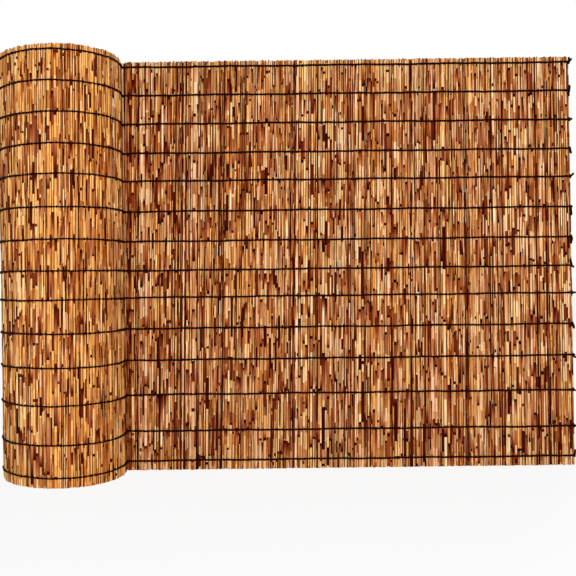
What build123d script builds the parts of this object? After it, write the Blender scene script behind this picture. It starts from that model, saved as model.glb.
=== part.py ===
from build123d import *

import math
import os
from itertools import accumulate, pairwise

# Reed fencing: reeds stood side by side and bound by rows of wire into one long mat.
# The mat stands on its reed ends. A stretch is unrolled as a flat panel along X, and the rest is
# wound into a roll at the panel's left end. All sizes are millimetres, and Z is up.

# Fence
fence_height = 1000.0
fence_length = 5000.0
panel_length = 1077.0  # the flat stretch, from the free end to the fold at the roll

# Reeds
reed_pitch = 9.4
reed_thickness = 6.4
reed_groove = 2.2  # depth of the groove between two reeds, on each face of the mat
reed_crest = 3.8  # flat on top of each reed
reeds_per_group = 3  # reeds between two twists of the wire, where the mat can bend

# Roll
core_radius = 104.0  # hollow middle, measured to the middle of the mat and evened out all round
ovality = 0.22  # share by which a turn bends more and less sharply than a round one
oval_angle = 140.0  # turn from the fold to where the roll is flattest
turn_gap = 3.4  # room that the wires keep between two turns
fold_angle = 90.0  # turn from the panel into the roll, made in two equal bends
mouth_angle = 15.0  # last part of the outer turn, where the wire runs in under the fold

# Binding wire
wire_thickness = 2.2
bottom_margin = 24.0  # from the ground to the lowest wire
top_margin = 14.0  # from the highest wire to the reed tips
bay_weights = (73, 89, 85, 77, 76, 66, 71, 73, 74, 68, 71, 70, 69)  # hand-set bays, lowest first

# Knots at the free end, where the front and back wire of a row are twisted together
knot_size = 6.0
tail_length = 13.0
tail_angles = (78, 4, -30, -75, -55, -6, -35, -60, -85, 35, -80, 2, 74, 48)  # lowest row first

# Gaps between reeds, spread over the panel
gap_width = 1.8
gap_margin = 14.0  # from each end of a gap to the nearest wire
edge_reeds = 2  # reeds at the free end that no gap reaches
gap_spacing = 302.0  # from one gap to the next in a bay
gap_stagger = 85.0  # along the panel, from the gaps of one bay to those of the next


# Sizes that follow from those above
half_mat = reed_thickness / 2
half_groove = half_mat - reed_groove
turn_pitch = reed_thickness + turn_gap
panel_groups = round(panel_length / (reeds_per_group * reed_pitch))
group_width = panel_length / panel_groups
reed_width = group_width / reeds_per_group
roll_groups = round((fence_length - panel_length) / group_width)
roll_radius = math.sqrt(core_radius**2 + roll_groups * group_width * turn_pitch / math.pi)
roll_start = panel_groups + 1  # the panel, then one group across the fold
mat_end = roll_start + roll_groups
gap_reeds = round(gap_spacing / reed_width)
stagger_reeds = round(gap_stagger / reed_width)

bay_unit = (fence_height - bottom_margin - top_margin) / sum(bay_weights)
wire_rows = list(accumulate((weight * bay_unit for weight in bay_weights), initial=bottom_margin))


# Plan line of the mat, with one point at each twist of the wire
def group_headings():
    """Heading of each group of reeds in degrees, from the free end to the core of the roll."""
    headings = [180.0] * panel_groups + [180.0 + fold_angle / 2]
    turned = 0.0
    while len(headings) < mat_end:
        headings.append(180.0 + fold_angle - turned)
        round_radius = roll_radius - turn_pitch * turned / 360
        radius = round_radius * (1 + ovality * math.cos(math.radians(2 * (turned - oval_angle))))
        turned += 2 * math.degrees(math.asin(group_width / (2 * radius)))
    return headings


def line_points(free_end):
    """Points of the plan line, starting from the free end."""
    steps = (Vector(group_width, 0).rotate(Axis.Z, heading) for heading in headings)
    return list(accumulate(steps, initial=free_end))


def beside(index, distance):
    """Point beside the line at one twist, on the mitre there, and left of it if distance is positive."""
    before = headings[max(index - 1, 0)]
    after = headings[min(index, mat_end - 1)]
    reach = distance / math.cos(math.radians(after - before) / 2)
    return points[index] + Vector(reach, 0).rotate(Axis.Z, (before + after) / 2 + 90)


def groups_turned(angle):
    """First group of the roll that has turned by at least this angle."""
    return next(i for i in range(roll_start, mat_end) if headings[roll_start] - headings[i] >= angle)


headings = group_headings()
roll_turn = headings[roll_start] - headings[-1]
outer_end = groups_turned(360 - mouth_angle)  # the outer turn shows as far as the fold
inner_start = groups_turned(roll_turn - 360)  # the last turn shows inside the core
wire_stops = [0, *range(panel_groups, outer_end + 1)]
back_stops = [0, panel_groups, roll_start]

# The origin is under the middle of the whole outline
points = line_points(Vector(0, 0))
wire_edge = [beside(i, half_mat + wire_thickness) for i in wire_stops]
tail_reaches = [
    tail_length * math.cos(math.radians(angle)) + wire_thickness / 2 * math.sin(math.radians(abs(angle)))
    for angle in tail_angles
]
knot_reach = knot_size / 2 + max(knot_size / 2, *tail_reaches)
middle_x = (min(point.X for point in wire_edge) + knot_reach) / 2
middle_y = (min(point.Y for point in wire_edge) + max(point.Y for point in wire_edge)) / 2
points = line_points(Vector(-middle_x, -middle_y))
free_end = points[0]
knot_x = free_end.X + knot_size / 2


# Reed mat
def reeded_face(group, side):
    """Plan of one face of a group, three flats to each reed. Side is 1 left of the line and -1 right."""
    start = beside(group, side * half_groove)
    end = beside(group + 1, side * half_groove)
    along = (end - start).normalized()
    rise = along.rotate(Axis.Z, side * 90) * reed_groove
    width = (end - start).length / reeds_per_group
    flank = (width - reed_crest) / 2
    face = [start]
    for reed in range(reeds_per_group):
        foot = start + along * (reed * width)
        face.append(foot + along * flank + rise)
        face.append(foot + along * (width - flank) + rise)
        face.append(foot + along * width)
    return face


def plain_face(group, side):
    """Plan of one face of a group that another turn covers."""
    return [beside(group, side * half_mat), beside(group + 1, side * half_mat)]


def mat_outline():
    """Closed plan outline of the mat: its left side from the free end to the core, and back on its right."""
    left = []
    right = []
    for group in range(mat_end):
        left += reeded_face(group, 1) if group <= outer_end else plain_face(group, 1)
        shows_right = group < roll_start or group >= inner_start
        right += reeded_face(group, -1) if shows_right else plain_face(group, -1)
    loop = left + right[::-1]
    return [loop[0]] + [point for last, point in pairwise(loop) if (point - last).length > 0.001]


with BuildPart() as reed_mat:
    with BuildSketch():
        with BuildLine():
            Polyline(*mat_outline(), close=True)
        make_face()
    extrude(amount=fence_height)
    # Gaps through the panel, in the grooves between reeds and clear of the wires
    with BuildSketch(Plane.XZ.offset(-free_end.Y)):
        for bay, (low, high) in enumerate(pairwise(wire_rows)):
            first = edge_reeds + bay * stagger_reeds % gap_reeds
            grooves = range(first, panel_groups * reeds_per_group, gap_reeds)
            with Locations(*[(free_end.X - groove * reed_width, (low + high) / 2) for groove in grooves]):
                Rectangle(gap_width, high - low - 2 * gap_margin)
    extrude(amount=half_mat, both=True, mode=Mode.SUBTRACT)
reed_mat.part.label = "reed_mat"


# Binding wires
def wire_outline(stops, inner, outer):
    """Closed plan outline of a wire along one face of the mat, from its knot through the stops."""
    near = [Vector(knot_x, free_end.Y - inner)] + [beside(i, inner) for i in stops[1:]]
    far = [Vector(knot_x, free_end.Y - outer)] + [beside(i, outer) for i in stops[1:]]
    return near + far[::-1]


# Front wire of a row, on the panel's front and round the outside of the roll, with its knot
with BuildPart() as front_run:
    with BuildSketch(Plane.XY.offset(-wire_thickness / 2)):
        with BuildLine():
            Polyline(*wire_outline(wire_stops, half_mat, half_mat + wire_thickness), close=True)
        make_face()
    extrude(amount=wire_thickness)
    with BuildSketch(Plane.XZ.offset(-free_end.Y - half_mat)):
        with Locations((knot_x, 0)):
            RegularPolygon(knot_size / 2, 6, major_radius=False, rotation=30)
    extrude(amount=reed_thickness + wire_thickness)

# Back wire of a row, on the panel's back as far as it goes in between the turns of the roll
with BuildPart() as back_run:
    with BuildSketch(Plane.XY.offset(-wire_thickness / 2)):
        with BuildLine():
            Polyline(*wire_outline(back_stops, -half_mat, -half_mat - wire_thickness), close=True)
        make_face()
    extrude(amount=wire_thickness)


def front_wire(row, tail_angle):
    """Front wire at its height, with the cut tail of its knot."""
    with BuildPart() as wire:
        with Locations((0, 0, row)):
            add(front_run.part)
        with BuildSketch(Plane.XZ.offset(-free_end.Y + half_mat)):
            with Locations((knot_x, row)):
                Rectangle(tail_length, wire_thickness, tail_angle, align=(Align.MIN, Align.CENTER))
        extrude(amount=wire_thickness)
    return wire.part


def back_wire(row):
    """Back wire at its height."""
    with BuildPart() as wire:
        with Locations((0, 0, row)):
            add(back_run.part)
    return wire.part


os.makedirs("parts", exist_ok=True)
export_step(reed_mat.part, "parts/reed_mat.step")
for number, (row, tail_angle) in enumerate(zip(wire_rows, tail_angles), start=1):
    front = front_wire(row, tail_angle)
    front.label = f"front_wire_{number:02d}"
    export_step(front, f"parts/{front.label}.step")
    back = back_wire(row)
    back.label = f"back_wire_{number:02d}"
    export_step(back, f"parts/{back.label}.step")
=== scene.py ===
import math
import random
from functools import partial

import bpy
import numpy as np
from mathutils import Euler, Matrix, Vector


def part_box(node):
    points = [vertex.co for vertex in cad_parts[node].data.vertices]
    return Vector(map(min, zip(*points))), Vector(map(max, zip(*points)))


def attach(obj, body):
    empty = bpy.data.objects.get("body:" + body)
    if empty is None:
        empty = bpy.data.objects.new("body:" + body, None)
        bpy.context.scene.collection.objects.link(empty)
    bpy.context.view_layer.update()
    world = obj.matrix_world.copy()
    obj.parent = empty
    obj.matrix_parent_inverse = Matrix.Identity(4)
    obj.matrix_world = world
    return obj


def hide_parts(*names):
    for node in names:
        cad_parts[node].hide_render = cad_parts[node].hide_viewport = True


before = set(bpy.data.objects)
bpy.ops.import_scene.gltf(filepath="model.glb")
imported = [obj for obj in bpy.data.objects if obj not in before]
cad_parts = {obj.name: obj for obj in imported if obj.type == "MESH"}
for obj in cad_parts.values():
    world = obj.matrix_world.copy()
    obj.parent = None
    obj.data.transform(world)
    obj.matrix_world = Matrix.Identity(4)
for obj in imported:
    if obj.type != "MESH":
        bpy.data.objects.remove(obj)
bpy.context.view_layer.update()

# Reed fencing: about eleven hundred reeds bound by rows of black wire, part rolled up. All sizes are metres.

# Driving sizes of the mat, as in the solids
PANEL_LENGTH = 1.077
PANEL_GROUPS = 38
GROUP_WIDTH = PANEL_LENGTH / PANEL_GROUPS
ROLL_GROUPS = 138
MAT_THICKNESS = 0.0064
HALF_MAT = MAT_THICKNESS / 2
TURN_GAP = 0.0034
TURN_PITCH = MAT_THICKNESS + TURN_GAP
CORE_RADIUS = 0.104
OVALITY = 0.22
OVAL_ANGLE = 140.0
FOLD_ANGLE = 90.0
MOUTH_ANGLE = 15.0
KNOT_SIZE = 0.006
ROWS = 14


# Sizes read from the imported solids
def row_height(number):
    """Height of a row of wire, from the solid of its back wire."""
    low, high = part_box(f"back_wire_{number:02d}")
    return (low[2] + high[2]) / 2


mat_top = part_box("reed_mat")[1]
wire_low, wire_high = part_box("back_wire_01")
FENCE_HEIGHT = mat_top[2]
FREE_END_X = mat_top[0]
WIRE_THICKNESS = wire_high[2] - wire_low[2]
PANEL_Y = wire_high[1] - HALF_MAT - WIRE_THICKNESS
ROW_HEIGHTS = [row_height(number) for number in range(1, ROWS + 1)]

# Reeds as they look
REED_GROUP = 0.0114  # mean width of the few reeds between two twists of the wire
GROUP_SHARES = (0.86, 1.14)  # least and most of that width
LAST_GROUP = 1.5 * REED_GROUP  # most that is left for the last group
WIDTH_MIXES = (
    (1.0, 1.0), (1.15, 0.85), (0.8, 1.2),
    (1.0, 0.8, 1.2), (0.8, 1.2, 0.7), (1.1, 0.7, 0.9), (0.9, 1.0, 1.1),
)  # widths beside each other, for two or three reeds
ROOM_TAKEN = (1.0, 1.1)  # share of its room that a reed takes, over one where it presses on the next
THICKEST = 0.0043  # radius of the thickest reed
TAPER = 0.16  # share of the radius lost from foot to tip
TONE_LIMITS = (0.2, 0.98)
TONE_STEP = 0.05  # spread of tone from one stretch of a reed to the next
PAINTED_FOLD_SHADE = 0.45  # share of their tone that reeds deep in the fold keep: painted shade of the concave fold
BOW_SPREAD = 0.0006  # bow and lean of a single reed along the mat
BOW_LIMITS = (-0.0008, 0.0008)
BOW_WAVES = 1.7  # half waves over the height of the fence
SWELL_SPREAD = 0.0003  # bow of a single reed across the mat
SWELL_WAVES = 2.3
ASIDE_SPREAD = 0.00035  # distance of a reed from the mat's middle line
FOOT_SPREAD = 0.0012  # height of a reed's foot above the ground
HIGHEST_FOOT = 0.004
TIP_DROP = 0.0012  # from the top of the fence to the mean tip
TIP_SPREAD = 0.0011
TIP_LIMITS = (-0.004, 0.002)
LAST_REEDS = 0.004  # length at the free end where the reed tips are broken off
BROKEN_OFF = 0.016  # height that those have lost
SHOWN_SIDES = 8  # sides of a reed that shows
PLAIN_SIDES = 6  # sides of a reed that is thin or hidden
# Lean of the reeds over the height of the fence, at a few lengths from the free end
LEANS = (
    (0.0, 0.0066), (0.27, -0.001), (0.42, -0.0085), (0.85, -0.022), (1.02, -0.0185), (1.17, -0.012),
    (1.3, -0.012), (1.5, -0.015), (2.2, -0.009), (3.0, 0.0),
)

# Cut ends of a reed, with radii as shares of its own
FOOT_RIM = 0.97
FOOT_ROUND = 0.0006  # height of the rounded foot
TIP_RIM = 0.95
HOLLOW_RIM = 0.58
HOLLOW = 0.45
HOLLOW_DEPTH = 0.005
HOLLOW_PAINTED_SHADE = 0.9  # darkness inside: painted shade in the hollow

# Joints and sheaths
LOWEST_JOINT = (0.08, 0.016)  # mean and spread of its height
LEAST_JOINT = 0.004  # least height of it
JOINT_WAVES = ((0.036, 41, 0.0), (0.024, 67, 1.0))  # height, rate along the mat and shift of each
ODD_REEDS = 0.25  # share of the reeds that follow no wave
MOST_ODD = 0.076
JOINT_SPACING = (0.135, 0.009)  # mean and spread, from reed to reed
SPACING_SHARES = (0.9, 1.1)  # least and most of that spacing, along one reed
JOINT_HEIGHTS = (0.005, 0.0088)
JOINT_WRAP = 0.00035  # radius that a joint adds
JOINT_ROOM = 0.012  # no joint comes nearer to the tip, or to the marked stretch below it
END_STEP = 0.00015  # half of the height over which one stretch of a reed gives way to the next
LEAST_BARE = 0.002  # least height of bare stalk below a joint
BARE_BELOW = 0.004  # the same below a sheath
SHORTEST_SHEATH = 0.018
MEAN_LONGER = 0.03  # mean length that a sheath has beyond the shortest
LONGEST_SHEATH = 0.11
SHEATH_WRAPS = (0.0001, 0.0004)  # radius that a sheath adds
SHEATHS_BELOW = 0.62  # share of sheaths that lie below their joint
EVEN_SHEATHS = 0.4  # share of sheaths that don't fade
FADED_MARK = 0.14
DULL_PLACES = (0.2, 0.8)  # share of its height where a thin or hidden reed has its only joint
DULL_HEIGHT = 0.003
DULL_MARK = 0.7
DULL_WRAP = 0.0003
# Mean and spread of hue and tone, share of joints with a sheath, and how dark sheaths, joints and grooves
# are; the grooves' darkness is painted shade
PANEL_LOOK = {
    "hue": (0.58, 0.24), "tone": (0.615, 0.06), "sheathed": 0.94,
    "darker": 0.0, "blackness": 1.0, "groove": 0.0,
}
ROLL_LOOK = {
    "hue": (0.92, 0.15), "tone": (0.7, 0.03), "sheathed": 0.92,
    "darker": 0.06, "blackness": 0.86, "groove": 0.14,
}
MARKS = (0.36, 0.46, 0.54, 0.6, 0.66, 0.74, 0.8, 0.86)  # darkness of sheaths
BLACKS = (1.0, 1.0, 0.94, 0.9, 0.84, 0.7)  # darkness of joints
HIDDEN_BUNCH = "reeds_inner_turns"  # piece of the turns that other turns cover
CORE_BUNCH = "reeds_core_turn"  # piece of the last turn, which shows inside the core

# Thin reeds in the grooves; the dark tone of the deep ones is painted groove shade
DARK_RADII = (0.0022, 0.0025)
DARK_ASIDE = (-0.0002, 0.0003)  # mean and spread
# Tones of the deep thin reeds, near black: painted shade in the grooves
GROOVE_SHADE_TONES = (0.0, 0.18)
LIGHT_RADII = (0.0011, 0.0015)
LIGHT_REACH = 0.0022  # from the mat's middle line to the front of a light one
LIGHT_TONES = (0.5, 0.85)
LIGHT_SHARE = 0.22  # share of the grooves that have a light one

# Wires as they look
WIRE_RADIUS = 0.002
WIRE_SHARES = (0.94, 1.08)  # least and most of that radius along a wire
WIRE_PROUD = WIRE_RADIUS * 0.8  # from the reeds to the middle of the wire
SHOULDER = 0.0002  # drop of the wire from the middle of a group towards a twist
TWIST_RADIUS = 0.0025  # where two wires are twisted together
TWIST_PROUD = 0.0002  # from the reeds to the middle of a twist
PANEL_TALL = 1.2  # height of a wire by its width between two twists, on the panel
ROLL_TALL = 0.9  # the same on the roll
TWIST_TALL = (1.1, 1.6)  # the same at a twist, from least to most
DROOPS = ((0.0006, 23), (0.0003, 91))  # height and rate of the waves in which a wire rises and falls
UNEVEN = 0.00015  # spread of its height from point to point
NEARLY_UPRIGHT = 0.3  # share of a step that goes sideways, at most
WIRE_START = 0.001  # length along the mat where a wire leaves the turn round the last reed

# Knots at the free end
KNOT_INSET = KNOT_SIZE * 0.2  # from the free end back to the middle of a knot
KNOT_DEPTH = 0.0012  # from the panel's middle forward to the middle of a knot
KNOT_WIDTH = 0.0044
KNOT_TURNS = (2, 2, 3)
KNOT_RADII = (0.003, 0.0038)
KNOT_WIRE = WIRE_RADIUS * 0.85
TURN_POINTS = 9  # points of one turn
# The wire's way into its knot: distance past the knot, and share of the way to the face of the mat
END_TURN = ((0.0012, 0.0), (-0.0012, 0.55), (-0.0027, 0.95))
# Cut tails of wire at the free end, lowest row first: slant in degrees, length and curl of each
TAILS = (
    ((78, 0.015, 0.1),),
    ((4, 0.007, 0.0),),
    ((-30, 0.006, 0.0),),
    ((-75, 0.012, 0.9), (5, 0.006, 0.0)),
    ((-122, 0.012, -0.3), (-52, 0.014, -0.5)),
    ((-6, 0.009, 0.1),),
    ((98, 0.016, 0.1), (-35, 0.008, 0.0)),
    ((-95, 0.018, 0.1), (-50, 0.014, -0.9)),
    ((-87, 0.022, 0.0), (8, 0.005, 0.0)),
    ((35, 0.011, 0.1),),
    ((-80, 0.013, 0.1),),
    ((2, 0.007, 0.0),),
    ((74, 0.013, 0.2), (-96, 0.014, 0.1)),
    ((84, 0.012, 0.0), (40, 0.012, 0.2)),
)
TAIL_DEPTHS = (-HALF_MAT - 0.0008, -HALF_MAT + 0.001)  # from the panel's middle, for the two tails of a knot
TAIL_POINTS = 7
TAIL_RADIUS = WIRE_RADIUS * 1.4
TAIL_TIP = WIRE_RADIUS * 1.1
TAIL_CURL = 2.4  # turn in radians along a tail whose curl is one
TAIL_SWAY = (0.05, 9)  # size and rate, by the tail's heading

rng = random.Random(41)


# Plan line of the mat
def group_headings():
    """Heading of each group of reeds, and the degrees turned before each group of the roll."""
    roll_radius = math.sqrt(CORE_RADIUS**2 + ROLL_GROUPS * GROUP_WIDTH * TURN_PITCH / math.pi)
    headings = [180.0] * PANEL_GROUPS + [180.0 + FOLD_ANGLE / 2]
    turned = [0.0]
    for _ in range(ROLL_GROUPS):
        headings.append(180.0 + FOLD_ANGLE - turned[-1])
        round_radius = roll_radius - TURN_PITCH * turned[-1] / 360
        radius = round_radius * (1 + OVALITY * math.cos(math.radians(2 * (turned[-1] - OVAL_ANGLE))))
        turned.append(turned[-1] + 2 * math.degrees(math.asin(GROUP_WIDTH / (2 * radius))))
    return np.radians(headings), np.array(turned)


def smooth_line(points, steps=24):
    """A smooth line through the points, as a dense row of points."""
    padded = np.vstack([2 * points[0] - points[1], points, 2 * points[-1] - points[-2]])
    before, start, end, after = padded[:-3], padded[1:-2], padded[2:-1], padded[3:]
    rows = []
    for t in np.linspace(0, 1, steps, endpoint=False):
        rows.append(0.5 * (2 * start + (end - before) * t + (2 * before - 5 * start + 4 * end - after) * t**2
                           + (3 * start - before - 3 * end + after) * t**3))
    line = np.stack(rows, axis=1).reshape(-1, 2)
    return np.vstack([line, points[-1]])


headings, turned = group_headings()
steps = GROUP_WIDTH * np.stack([np.cos(headings), np.sin(headings)], axis=1)
corners = np.vstack([[0.0, 0.0], np.cumsum(steps, axis=0)]) + [FREE_END_X, PANEL_Y]
# The reeds fold more sharply than the solid, which folds in two bends
fold_lead = GROUP_WIDTH / 2 / math.cos(math.radians(FOLD_ANGLE / 2))
corners = np.insert(corners, PANEL_GROUPS + 1, corners[PANEL_GROUPS] - [fold_lead, 0.0], axis=0)
line = smooth_line(corners)
line_length = np.concatenate([[0.0], np.cumsum(np.linalg.norm(np.diff(line, axis=0), axis=1))])
line_slope = np.gradient(line, line_length, axis=0)
corner_length = line_length[:: (len(line) - 1) // (len(corners) - 1)]
roll_length = corner_length[PANEL_GROUPS + 2:]

# Lengths from the free end where parts of the mat begin and end
FOLD = corner_length[PANEL_GROUPS + 1]
ROLL_START = roll_length[0]
OUTER_END = roll_length[int(np.searchsorted(turned, 360 - MOUTH_ANGLE))]
SHOWN_END = OUTER_END + 0.03  # a few reeds of the outer turn show in under the fold
FOLD_SHADE_SPAN = (FOLD - 0.022, FOLD + 0.007)  # where the reeds are darker: painted shade deep in the fold
INNER_START = roll_length[int(np.searchsorted(turned, turned[-2] - 360))]
MAT_LENGTH = line_length[-1]
# Pieces that the reeds make up before the core, with the length where each ends
BUNCH_ENDS = {
    "reeds_panel_right": ROLL_START / 2,
    "reeds_panel_left": ROLL_START,
    "reeds_outer_turn": SHOWN_END,
    HIDDEN_BUNCH: INNER_START,
}


def along_line(length, values):
    """Two values that are kept along the plan line, at one length."""
    return np.array([np.interp(length, line_length, column) for column in values.T])


def mat_at(length):
    """Place on the mat's middle line at a length: point, direction along the line, and left of it."""
    along = along_line(length, line_slope)
    along = along / np.linalg.norm(along)
    return along_line(length, line), along, np.array([-along[1], along[0]])


def racked(length, height):
    """Shift along the mat at a height, because the reeds lean a little."""
    lean = np.interp(length, [at for at, _ in LEANS], [lean for _, lean in LEANS])
    return lean * (height / FENCE_HEIGHT - 0.5)


# Meshes
class Tubes:
    """Collects tubes and makes one mesh of them, with a few numbers kept at each vertex."""

    KEPT = ("seed", "tone", "mark", "cut", "hue")

    def __init__(self):
        self.vertices = []
        self.faces = []
        self.kept = {name: [] for name in self.KEPT}
        self.count = 0

    def add(self, rings, **kept):
        """Joins rings of equally many points into a tube, closed by a face at each end."""
        rings = np.asarray(rings)
        number, sides = rings.shape[:2]
        self.vertices.append(rings.reshape(-1, 3))
        index = np.arange(number * sides).reshape(number, sides) + self.count
        low, high = index[:-1], index[1:]
        quads = np.stack([low, np.roll(low, -1, 1), np.roll(high, -1, 1), high], axis=-1).reshape(-1, 4)
        self.faces.extend(quads.tolist())
        self.faces.append(index[0, ::-1].tolist())
        self.faces.append(index[-1].tolist())
        for name in self.KEPT:
            values = np.broadcast_to(np.asarray(kept.get(name, 0.0), dtype=float), (number,))
            self.kept[name].append(np.repeat(values, sides))
        self.count += number * sides

    def piece(self, name, material, slot, *nodes):
        """Makes the object, smooth except at its ends, riding on the fencing's only body."""
        mesh = bpy.data.meshes.new(name)
        mesh.from_pydata(np.vstack(self.vertices).tolist(), [], self.faces)
        mesh.polygons.foreach_set("use_smooth", [len(face) == 4 for face in self.faces])
        for key, values in self.kept.items():
            mesh.attributes.new(key, "FLOAT", "POINT").data.foreach_set("value", np.concatenate(values))
        mesh.materials.append(material)
        mesh.update()
        piece = bpy.data.objects.new(name, mesh)
        bpy.context.collection.objects.link(piece)
        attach(piece, "root")
        if nodes:
            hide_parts(*nodes)


# Materials
def linear(red, green, blue):
    """A colour as it shows on a screen, 0 to 255, for Blender's colour sockets."""
    def one(value):
        value = value / 255
        return value / 12.92 if value <= 0.04045 else ((value + 0.055) / 1.055) ** 2.4
    return (one(red), one(green), one(blue), 1.0)


class Nodes:
    """Adds and links shader nodes of one material."""

    def __init__(self, name):
        self.material = bpy.data.materials.new(name)
        self.material.use_nodes = True
        self.tree = self.material.node_tree
        self.shader = self.tree.nodes["Principled BSDF"]

    def put(self, socket, value):
        """Links an output to a socket, or sets the socket to a plain value."""
        if isinstance(value, bpy.types.NodeSocket):
            self.tree.links.new(value, socket)
        else:
            socket.default_value = value

    def shade(self, **values):
        """Sets sockets of the shader, with their spaces written as underscores."""
        for name, value in values.items():
            self.put(self.shader.inputs[name.replace("_", " ")], value)

    def add(self, kind, output=0, inputs=(), **settings):
        """A new node's output."""
        node = self.tree.nodes.new(kind)
        for key, value in settings.items():
            setattr(node, key, value)
        for key, value in dict(inputs).items():
            self.put(node.inputs[key], value)
        return node.outputs[output]

    def split(self, kind, value):
        """The parts of a vector or a colour."""
        node = self.tree.nodes.new(kind)
        self.put(node.inputs[0], value)
        return node.outputs

    def math(self, operation, *values):
        """The result of one sum."""
        return self.add("ShaderNodeMath", inputs=enumerate(values), operation=operation)

    def kept(self, name):
        """A number kept at each vertex."""
        return self.add("ShaderNodeAttribute", output="Fac", attribute_name=name)

    def ramp(self, value, *stops):
        """A colour between stops, each a position and a colour."""
        node = self.tree.nodes.new("ShaderNodeValToRGB")
        elements = node.color_ramp.elements
        for element, (position, colour) in zip(elements, (stops[0], stops[-1])):
            element.position = position
            element.color = colour
        for position, colour in stops[1:-1]:
            elements.new(position).color = colour
        self.put(node.inputs[0], value)
        return node.outputs[0]

    def mix(self, factor, first, second, blend="MIX"):
        """A blend of two colours."""
        inputs = {0: factor, 6: first, 7: second}
        return self.add("ShaderNodeMix", output=2, inputs=inputs, data_type="RGBA", blend_type=blend)

    def bump(self, height, strength, distance):
        """A surface normal that follows a height."""
        inputs = {"Strength": strength, "Distance": distance, "Height": height}
        return self.add("ShaderNodeBump", inputs=inputs)


GRAIN_AND_SHEEN_SCALE = (430.0, 430.0, 15.0)
DRIFT = (6.0, 377.0)  # rate for each metre of height, and how far apart reeds lie in the noise
PATCHES = (26.0, 913.0)  # the same for the short stretches of a reed
FLECKS = 0.025  # share of those stretches that are brown
LEAST_MARK = 0.1  # anything less marked is bare stalk


def reed_noises(nodes):
    """Fine grain that also paints thin highlight and shade lines along the reeds, slow drift along each reed,
    and two random numbers for each stretch of a reed.
    """
    place = nodes.add("ShaderNodeTexCoord", output="Object")
    height = nodes.split("ShaderNodeSeparateXYZ", place)[2]
    seed = nodes.kept("seed")
    grain_place = nodes.add("ShaderNodeVectorMath", inputs={0: place, 1: GRAIN_AND_SHEEN_SCALE}, operation="MULTIPLY")
    grain_and_sheen = nodes.add("ShaderNodeTexNoise", inputs={"Vector": grain_place, "Scale": 1.0, "Detail": 3.0})
    rate, apart = DRIFT
    drift_place = nodes.math("MULTIPLY_ADD", height, rate, nodes.math("MULTIPLY", seed, apart))
    drift_inputs = {"W": drift_place, "Scale": 1.0, "Detail": 2.0}
    drift = nodes.add("ShaderNodeTexNoise", inputs=drift_inputs, noise_dimensions="1D")
    rate, apart = PATCHES
    cell_place = nodes.math("MULTIPLY_ADD", height, rate, nodes.math("MULTIPLY", seed, apart))
    cell_inputs = {"W": cell_place, "Scale": 1.0}
    cells = nodes.add("ShaderNodeTexVoronoi", output="Color", inputs=cell_inputs, voronoi_dimensions="1D")
    patch, fleck, _ = nodes.split("ShaderNodeSeparateColor", cells)
    return grain_and_sheen, drift, patch, fleck


def stalk_colour(nodes, grain_and_sheen, drift, patch, fleck):
    """Bare stalk: straw, lighter and darker in stretches, with painted thin highlight lines from the grain, a
    cast that varies and a few brown flecks.
    """
    shade = nodes.kept("tone")
    # The grain's large weight paints thin highlight and shade lines along the reeds, in place of their gloss
    for value, weight in ((drift, 0.2), (grain_and_sheen, 0.9), (patch, 0.48)):
        shade = nodes.math("ADD", shade, nodes.math("MULTIPLY", nodes.math("SUBTRACT", value, 0.5), weight))
    straw = nodes.ramp(
        shade,
        (0.0, linear(42, 5, 1)), (0.2, linear(114, 44, 9)), (0.4, linear(168, 104, 54)),
        (0.6, linear(210, 162, 115)), (0.8, linear(234, 197, 160)), (1.0, linear(248, 226, 198)),
    )
    hue = nodes.math("MULTIPLY_ADD", nodes.math("SUBTRACT", fleck, 0.5), 0.5, nodes.kept("hue"))
    cast = nodes.ramp(
        hue,
        (0.0, linear(250, 222, 204)), (0.35, linear(248, 238, 226)),
        (0.7, linear(252, 244, 210)), (1.0, linear(255, 220, 153)),
    )
    stalk = nodes.mix(1.0, straw, cast, "MULTIPLY")
    return nodes.mix(nodes.math("LESS_THAN", fleck, FLECKS), stalk, linear(132, 70, 34))


def sheath_colour(nodes, grain_and_sheen, mark):
    """Sheaths and joints: from light rust through maroon to nearly black, by their mark."""
    shaded = nodes.math("ADD", mark, nodes.math("MULTIPLY", nodes.math("SUBTRACT", 0.5, grain_and_sheen), 0.3))
    return nodes.ramp(
        shaded,
        (0.15, linear(194, 128, 82)), (0.4, linear(152, 79, 43)), (0.6, linear(112, 42, 20)),
        (0.8, linear(64, 10, 3)), (1.0, linear(26, 2, 0)),
    )


def reed_material():
    """Dry reed: straw stalks, sheath stretches and dark joints, with pale cut ends."""
    nodes = Nodes("reed")
    grain_and_sheen, drift, patch, fleck = reed_noises(nodes)
    mark = nodes.kept("mark")
    stalk = stalk_colour(nodes, grain_and_sheen, drift, patch, fleck)
    is_marked = nodes.math("GREATER_THAN", mark, LEAST_MARK)
    marked = nodes.mix(is_marked, stalk, sheath_colour(nodes, grain_and_sheen, mark))
    nodes.shade(
        Base_Color=nodes.mix(nodes.kept("cut"), marked, linear(226, 190, 138)),
        Roughness=nodes.math("MULTIPLY_ADD", grain_and_sheen, 0.25, 0.42),
        Specular_IOR_Level=0.015,
        Normal=nodes.bump(grain_and_sheen, strength=0.5, distance=0.0004),
    )
    return nodes.material


def wire_material():
    """Black coated wire, dull with a little gloss, and dusty in places."""
    nodes = Nodes("wire")
    place = nodes.add("ShaderNodeTexCoord", output="Object")
    dust = nodes.add("ShaderNodeTexNoise", inputs={"Vector": place, "Scale": 260.0, "Detail": 3.0})
    nodes.shade(
        Base_Color=nodes.ramp(dust, (0.35, linear(24, 3, 1)), (0.75, linear(32, 8, 3))),
        Roughness=nodes.math("MULTIPLY_ADD", dust, 0.3, 0.38),
        Specular_IOR_Level=0.02,
        Normal=nodes.bump(dust, strength=0.3, distance=0.0002),
    )
    return nodes.material


# Reeds
def within(value, limits):
    """The value, kept between two limits."""
    return max(limits[0], min(limits[1], value))


def bare(top):
    """A stretch of bare stalk that ends at a height."""
    return (top, 0.0, 0.0, 0.0)


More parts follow.
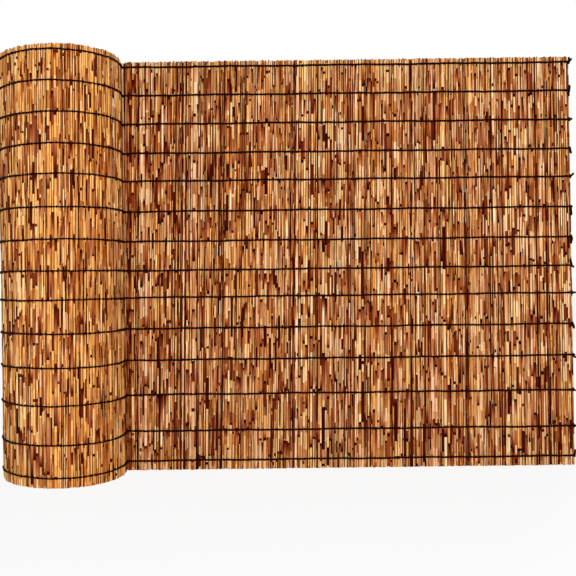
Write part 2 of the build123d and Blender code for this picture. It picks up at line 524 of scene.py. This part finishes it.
def jointed_stalk(low, high, first_joint, spacing, look):
    """Stretches of one reed, lowest first: top, mark below and above, and added radius of each."""
    stretches = []
    joint = low + first_joint
    while joint < high - JOINT_ROOM:
        dot = rng.uniform(*JOINT_HEIGHTS)
        sheath = min(SHORTEST_SHEATH + rng.expovariate(1 / MEAN_LONGER), LONGEST_SHEATH)
        mark = look["darker"] + rng.choice(MARKS)
        faded = mark if rng.random() < EVEN_SHEATHS else FADED_MARK
        wrap = rng.uniform(*SHEATH_WRAPS)
        below = rng.random() < SHEATHS_BELOW
        floor = stretches[-1][0] if stretches else low
        if rng.random() > look["sheathed"]:
            sheath = 0.0
        foot = joint - dot / 2
        if sheath and below and foot - sheath > floor + BARE_BELOW:
            stretches.append(bare(foot - sheath))
            stretches.append((foot, faded, mark, wrap))
        elif foot > floor + LEAST_BARE:
            stretches.append(bare(foot))
        black = look["blackness"] * rng.choice(BLACKS)
        stretches.append((joint + dot / 2, black, black, JOINT_WRAP))
        if sheath and not below and joint + sheath < high - JOINT_ROOM:
            stretches.append((joint + dot / 2 + sheath, mark, faded, wrap))
        joint = max(joint + spacing * rng.uniform(*SPACING_SHARES), stretches[-1][0] + JOINT_ROOM)
    stretches.append(bare(high))
    return stretches


def plain_stalk(low, high):
    """Stretches of a thin or hidden reed: stalk only, with one dull joint."""
    joint = rng.uniform(*DULL_PLACES) * high
    return [bare(joint), (joint + DULL_HEIGHT, DULL_MARK, DULL_MARK, DULL_WRAP), bare(high)]


def reed_rings(low, high, radius, tone, stretches):
    """Rings of one reed from its foot to its hollow tip: height, radius, tone, mark and cut of each."""
    rings = [(low, radius * HOLLOW, tone, 0.0, 1.0), (low, radius * FOOT_RIM, tone, 0.0, 0.6)]
    bottom = low + FOOT_ROUND
    for top, below, above, wrap in stretches:
        local = tone + rng.gauss(0, TONE_STEP)
        for at, mark in ((bottom + END_STEP, below), (top - END_STEP, above)):
            thick = radius * (1 - TAPER * at / FENCE_HEIGHT) + wrap
            rings.append((at, thick, local, mark, 0.0))
        bottom = top
    tip = rings[-1][1]
    rings.append((high, tip * TIP_RIM, tone, 0.0, 0.8))
    rings.append((high, tip * HOLLOW_RIM, tone, 0.0, 1.0))
    # The bottom of the hollow is dark: painted shade
    rings.append((high - HOLLOW_DEPTH, tip * HOLLOW, tone, HOLLOW_PAINTED_SHADE, 0.0))
    return rings


def add_reed(tubes, length, radius, aside, hue, sides, tone, stretches_of):
    """Adds one reed that stands at a length along the mat and aside from its middle line."""
    point, along, left = mat_at(length)
    low = min(HIGHEST_FOOT, abs(rng.gauss(0, FOOT_SPREAD)))
    high = FENCE_HEIGHT - TIP_DROP + within(rng.gauss(0, TIP_SPREAD), TIP_LIMITS)
    if length < LAST_REEDS:
        high -= BROKEN_OFF
    rings = reed_rings(low, high, radius, tone, stretches_of(low, high))
    bow = within(rng.gauss(0, BOW_SPREAD), BOW_LIMITS)
    lean = within(rng.gauss(0, BOW_SPREAD), BOW_LIMITS)
    swell = rng.gauss(0, SWELL_SPREAD)
    turn = rng.uniform(0, math.tau)
    heights, radii, tones, marks, cuts = np.array(rings).T
    angles = np.linspace(0, math.tau, sides, endpoint=False) + turn
    share = heights / FENCE_HEIGHT
    shift = racked(length, heights) + lean * (share - 0.5) + bow * np.sin(math.pi * share * BOW_WAVES + turn)
    proud = aside + swell * np.sin(math.pi * share * SWELL_WAVES + turn)
    centres = point + shift[:, None] * along + proud[:, None] * left
    around = np.cos(angles)[:, None] * along + np.sin(angles)[:, None] * left
    flat = centres[:, None, :] + radii[:, None, None] * around[None, :, :]
    upright = np.broadcast_to(heights[:, None, None], (len(rings), sides, 1))
    shape = np.concatenate([flat, upright], axis=2)
    tubes.add(shape, seed=rng.random(), tone=tones, mark=marks, cut=cuts, hue=hue)


def twist_places():
    """Lengths along the mat of the twists of the wire, a few reeds apart."""
    places = [0.0]
    while places[-1] < MAT_LENGTH - LAST_GROUP:
        places.append(places[-1] + REED_GROUP * rng.uniform(*GROUP_SHARES))
    return places + [MAT_LENGTH]


def joint_start(length):
    """Height of the lowest joint of a reed, which rises and falls in waves from reed to reed."""
    wave = sum(size * math.sin(length * rate + shift) for size, rate, shift in JOINT_WAVES)
    if rng.random() < ODD_REEDS:
        wave = rng.uniform(-MOST_ODD, MOST_ODD)
    mean, spread = LOWEST_JOINT
    return max(LEAST_JOINT, mean + wave + rng.gauss(0, spread))


def bunch_of(length):
    """Name of the piece that a reed belongs to, by its length along the mat."""
    return next((name for name, end in BUNCH_ENDS.items() if length < end), CORE_BUNCH)


def add_groove_reeds(tubes, length, hue, groove):
    """Adds the thin reeds in a groove: a dark one deep in, whose dark tone is painted groove shade, and at
    times a light one at the front.
    """
    radius = rng.uniform(*DARK_RADII)
    aside = rng.gauss(*DARK_ASIDE)
    # Dark tone: painted shade deep in the groove
    tone = rng.uniform(*GROOVE_SHADE_TONES) + groove
    add_reed(tubes, length, radius, aside, hue, PLAIN_SIDES, tone, plain_stalk)
    if rng.random() < LIGHT_SHARE:
        radius = rng.uniform(*LIGHT_RADII)
        tone = rng.uniform(*LIGHT_TONES)
        add_reed(tubes, length, radius, LIGHT_REACH - radius, hue, PLAIN_SIDES, tone, plain_stalk)


def add_group(start, end):
    """Adds the reeds between two twists of the wire, and gives their reach to front and back."""
    middle = (start + end) / 2
    bunch = bunch_of(middle)
    tubes = bunches[bunch]
    shown = bunch != HIDDEN_BUNCH
    look = PANEL_LOOK if middle < ROLL_START else ROLL_LOOK
    in_fold_shade = FOLD_SHADE_SPAN[0] < middle < FOLD_SHADE_SPAN[1]
    mix = np.array(rng.choice(WIDTH_MIXES))
    edge = start
    reach = []
    for width in (end - start) * mix / mix.sum():
        radius = min(THICKEST, width * rng.uniform(*ROOM_TAKEN) / 2)
        aside = rng.gauss(0, ASIDE_SPREAD)
        hue = rng.gauss(*look["hue"])
        tone = within(rng.gauss(*look["tone"]), TONE_LIMITS)
        # Reeds deep in the fold are darkened: painted shade in the concave fold beside the roll
        if in_fold_shade:
            tone *= PAINTED_FOLD_SHADE
        first_joint = joint_start(edge)
        spacing = rng.gauss(*JOINT_SPACING)
        stretches_of = plain_stalk
        sides = PLAIN_SIDES
        if shown:
            stretches_of = partial(jointed_stalk, first_joint=first_joint, spacing=spacing, look=look)
            sides = SHOWN_SIDES
        add_reed(tubes, edge + width / 2, radius, aside, hue, sides, tone, stretches_of)
        reach.append((radius + aside, radius - aside))
        edge += width
        if shown:
            add_groove_reeds(tubes, edge, hue, look["groove"])
    return np.max(reach, axis=0)


bunches = {name: Tubes() for name in [*BUNCH_ENDS, CORE_BUNCH]}
twists = twist_places()
fronts, backs = np.array([add_group(start, end) for start, end in zip(twists, twists[1:])]).T

reed = reed_material()
wire = wire_material()
for name, tubes in bunches.items():
    tubes.piece(name, reed, "reed", "reed_mat")


# Wires
def tube_rings(points, radii, tall=1.0, sides=6):
    """Rings of a tube along points in space, drawn out upwards where tall is over one."""
    points = np.asarray(points)
    forward = np.gradient(points, axis=0)
    forward /= np.linalg.norm(forward, axis=1)[:, None]
    side = np.cross(forward, [0.0, 0.0, 1.0])
    steep = np.linalg.norm(side, axis=1) < NEARLY_UPRIGHT
    side[steep] = np.cross(forward[steep], [0.0, 1.0, 0.0])
    side /= np.linalg.norm(side, axis=1)[:, None]
    up = np.cross(side, forward) * np.broadcast_to(tall, len(points))[:, None]
    angles = np.linspace(0, math.tau, sides, endpoint=False)
    ring = np.cos(angles)[:, None] * side[:, None, :] + np.sin(angles)[:, None] * up[:, None, :]
    return points[:, None, :] + np.asarray(radii)[:, None, None] * ring


def wire_run(row, side, first, last):
    """Points, radii and tallness of a wire on one face, twisted with its fellow between groups."""
    points, radii, tall = [], [], []
    shifts = [rng.uniform(0, math.tau) for _ in DROOPS]
    faces = fronts if side > 0 else backs
    for number, (start, end) in enumerate(zip(twists, twists[1:])):
        if start < first or start > last:
            continue
        droop = sum(size * math.sin(start * rate + shift) for (size, rate), shift in zip(DROOPS, shifts))
        top = faces[number] + WIRE_PROUD
        dip = min(faces[number], faces[number - 1]) + TWIST_PROUD
        between = PANEL_TALL if start < ROLL_START else ROLL_TALL
        for share, out, radius, height in (
            (0.0, dip, TWIST_RADIUS, rng.uniform(*TWIST_TALL)),
            (0.15, top - SHOULDER, WIRE_RADIUS, between),
            (0.5, top, WIRE_RADIUS, between),
            (0.85, top - SHOULDER, WIRE_RADIUS, between),
        ):
            length = start + share * (end - start)
            point, _, left = mat_at(length + racked(length, row))
            points.append((*(point + side * out * left), row + droop + rng.gauss(0, UNEVEN)))
            radii.append(radius * rng.uniform(*WIRE_SHARES))
            tall.append(height)
    return points, radii, tall


def knot_x(row):
    """Place of a row's knot along the panel, at the free end, which leans."""
    return FREE_END_X - KNOT_INSET - racked(0.0, row)


def tail_rings(row, slant, length, curl, depth):
    """One cut tail of wire, which leaves the knot at a slant and curls on."""
    points = []
    sway, rate = TAIL_SWAY
    heading = math.radians(slant)
    place = np.array([knot_x(row), PANEL_Y + depth, row])
    for _ in range(TAIL_POINTS):
        points.append(place)
        step = np.array([math.cos(heading), sway * math.sin(rate * heading), math.sin(heading)])
        place = place + length / (TAIL_POINTS - 1) * step
        heading += curl * TAIL_CURL / TAIL_POINTS
    return tube_rings(points, [TAIL_RADIUS] * (TAIL_POINTS - 1) + [TAIL_TIP])


def end_turn(row, side, face):
    """The wire's way from one face of the mat round the last reed into the knot."""
    return [(knot_x(row) + past, PANEL_Y - side * face * share, row) for past, share in END_TURN]


def binding_rings(row, turns, size):
    """The few turns of wire that bind the two strands into a knot."""
    count = TURN_POINTS * turns + 1
    points = []
    for k in range(count):
        turn = math.tau * k / TURN_POINTS
        share = k / (count - 1)
        points.append((
            knot_x(row) - KNOT_WIDTH / 2 + KNOT_WIDTH * share,
            PANEL_Y - KNOT_DEPTH + size * math.cos(turn),
            row + size * math.sin(turn),
        ))
    return tube_rings(points, [KNOT_WIRE] * count, sides=5)


def face_rings(row, side, face, last):
    """The wire on one face of the mat, from its knot to a length along the mat."""
    turn = end_turn(row, side, face)
    points, radii, tall = wire_run(row, side, WIRE_START, last)
    return tube_rings(turn + points, [WIRE_RADIUS] * len(turn) + radii, [1.0] * len(turn) + tall)


for number, (row, tails) in enumerate(zip(ROW_HEIGHTS, TAILS), start=1):
    front = Tubes()
    front.add(face_rings(row, 1, fronts[0], OUTER_END))
    front.add(binding_rings(row, rng.choice(KNOT_TURNS), rng.uniform(*KNOT_RADII)))
    for depth, (slant, length, curl) in zip(TAIL_DEPTHS, tails):
        front.add(tail_rings(row, slant, length, curl, depth))
    back = Tubes()
    back.add(face_rings(row, -1, backs[0], ROLL_START))
    front.piece(f"wire_front_{number:02d}", wire, "wire", f"front_wire_{number:02d}")
    back.piece(f"wire_back_{number:02d}", wire, "wire", f"back_wire_{number:02d}")

core = Tubes()
for row in ROW_HEIGHTS:
    core.add(tube_rings(*wire_run(row, -1, INNER_START, MAT_LENGTH)))
core.add(tube_rings(*wire_run(ROW_HEIGHTS[-1], 1, OUTER_END, INNER_START)))
core.piece("wires_inner_turns", wire, "wire")


# Floor, light and camera
FLOOR_SIZE = 60.0
FLOOR_DROP = 0.0005  # below the reeds, so that no two faces share a plane
FLOOR_GLOW = 0.88  # share of the floor's look that is plain white
SKY_LIGHT = 0.27


def background_rays(tree):
    """One for the rays that show the background: those of the camera, and through gloss and glass."""
    path = tree.nodes.new("ShaderNodeLightPath")
    total = path.outputs["Is Camera Ray"]
    for name in ("Is Glossy Ray", "Is Transmission Ray"):
        both = tree.nodes.new("ShaderNodeMath")
        both.operation = "MAXIMUM"
        tree.links.new(total, both.inputs[0])
        tree.links.new(path.outputs[name], both.inputs[1])
        total = both.outputs[0]
    return total


def floor_material():
    """Pale floor, seen as nearly white and still taking the fencing's shadow."""
    nodes = Nodes("floor")
    place = nodes.add("ShaderNodeTexCoord", output="Object")
    cloud = nodes.add("ShaderNodeTexNoise", inputs={"Vector": place, "Scale": 3.0, "Detail": 2.0})
    nodes.shade(
        Base_Color=nodes.ramp(cloud, (0.0, linear(246, 246, 246)), (1.0, linear(252, 252, 252))),
        Roughness=0.9,
        Specular_IOR_Level=0.1,
    )
    glow = nodes.add("ShaderNodeEmission", inputs={"Color": (1.0, 1.0, 1.0, 1.0), "Strength": 1.0})
    share = nodes.math("MULTIPLY", background_rays(nodes.tree), FLOOR_GLOW)
    mixed = nodes.add("ShaderNodeMixShader", inputs={0: share, 1: nodes.shader.outputs[0], 2: glow})
    nodes.put(nodes.tree.nodes["Material Output"].inputs["Surface"], mixed)
    return nodes.material


def studio_world():
    """Dim white surroundings, which the camera sees as plain white."""
    world = bpy.data.worlds.new("studio")
    world.use_nodes = True
    tree = world.node_tree
    sky = tree.nodes["Background"]
    white = tree.nodes.new("ShaderNodeBackground")
    for node, strength in ((sky, SKY_LIGHT), (white, 1.0)):
        node.inputs["Strength"].default_value = strength
        node.inputs["Color"].default_value = (1.0, 1.0, 1.0, 1.0)
    choose = tree.nodes.new("ShaderNodeMixShader")
    tree.links.new(background_rays(tree), choose.inputs[0])
    tree.links.new(sky.outputs[0], choose.inputs[1])
    tree.links.new(white.outputs[0], choose.inputs[2])
    tree.links.new(choose.outputs[0], tree.nodes["World Output"].inputs["Surface"])
    return world


def softbox(name, place, target, size, power):
    """A large soft lamp that faces a point."""
    lamp = bpy.data.lights.new(name, "AREA")
    lamp.shape = "SQUARE"
    lamp.size = size
    lamp.energy = power
    holder = bpy.data.objects.new(name, lamp)
    holder.location = place
    holder.rotation_euler = (Vector(target) - Vector(place)).to_track_quat("-Z", "Y").to_euler()
    bpy.context.collection.objects.link(holder)


def level_camera(place, lens, pitch, roll):
    """A camera that looks along +Y, tilted by a small pitch and roll in degrees."""
    camera = bpy.data.objects.new("camera", bpy.data.cameras.new("camera"))
    camera.data.sensor_width = 36.0
    camera.data.lens = lens
    camera.location = place
    camera.rotation_euler = Euler((math.radians(90) + math.radians(pitch), 0.0, 0.0))
    camera.rotation_euler.rotate_axis("Z", math.radians(roll))
    bpy.context.collection.objects.link(camera)
    return camera


bpy.ops.mesh.primitive_plane_add(size=FLOOR_SIZE, location=(0.0, 0.0, -FLOOR_DROP))
floor = bpy.context.object
floor.name = "floor"
floor.data.materials.append(floor_material())

bpy.context.scene.world = studio_world()
softbox("front_softbox", (0.25, -3.3, 1.0), (-0.1, 0.0, 0.5), size=0.8, power=102.0)
softbox("rear_softbox", (1.5, 3.0, 2.6), (0.0, 0.0, 0.5), size=1.6, power=95.0)
camera_place = (FREE_END_X - 0.6955, PANEL_Y - 1.992, 0.464)
bpy.context.scene.camera = level_camera(camera_place, lens=50.8, pitch=-0.6, roll=-0.719)
bpy.context.scene.view_settings.view_transform = "Standard"
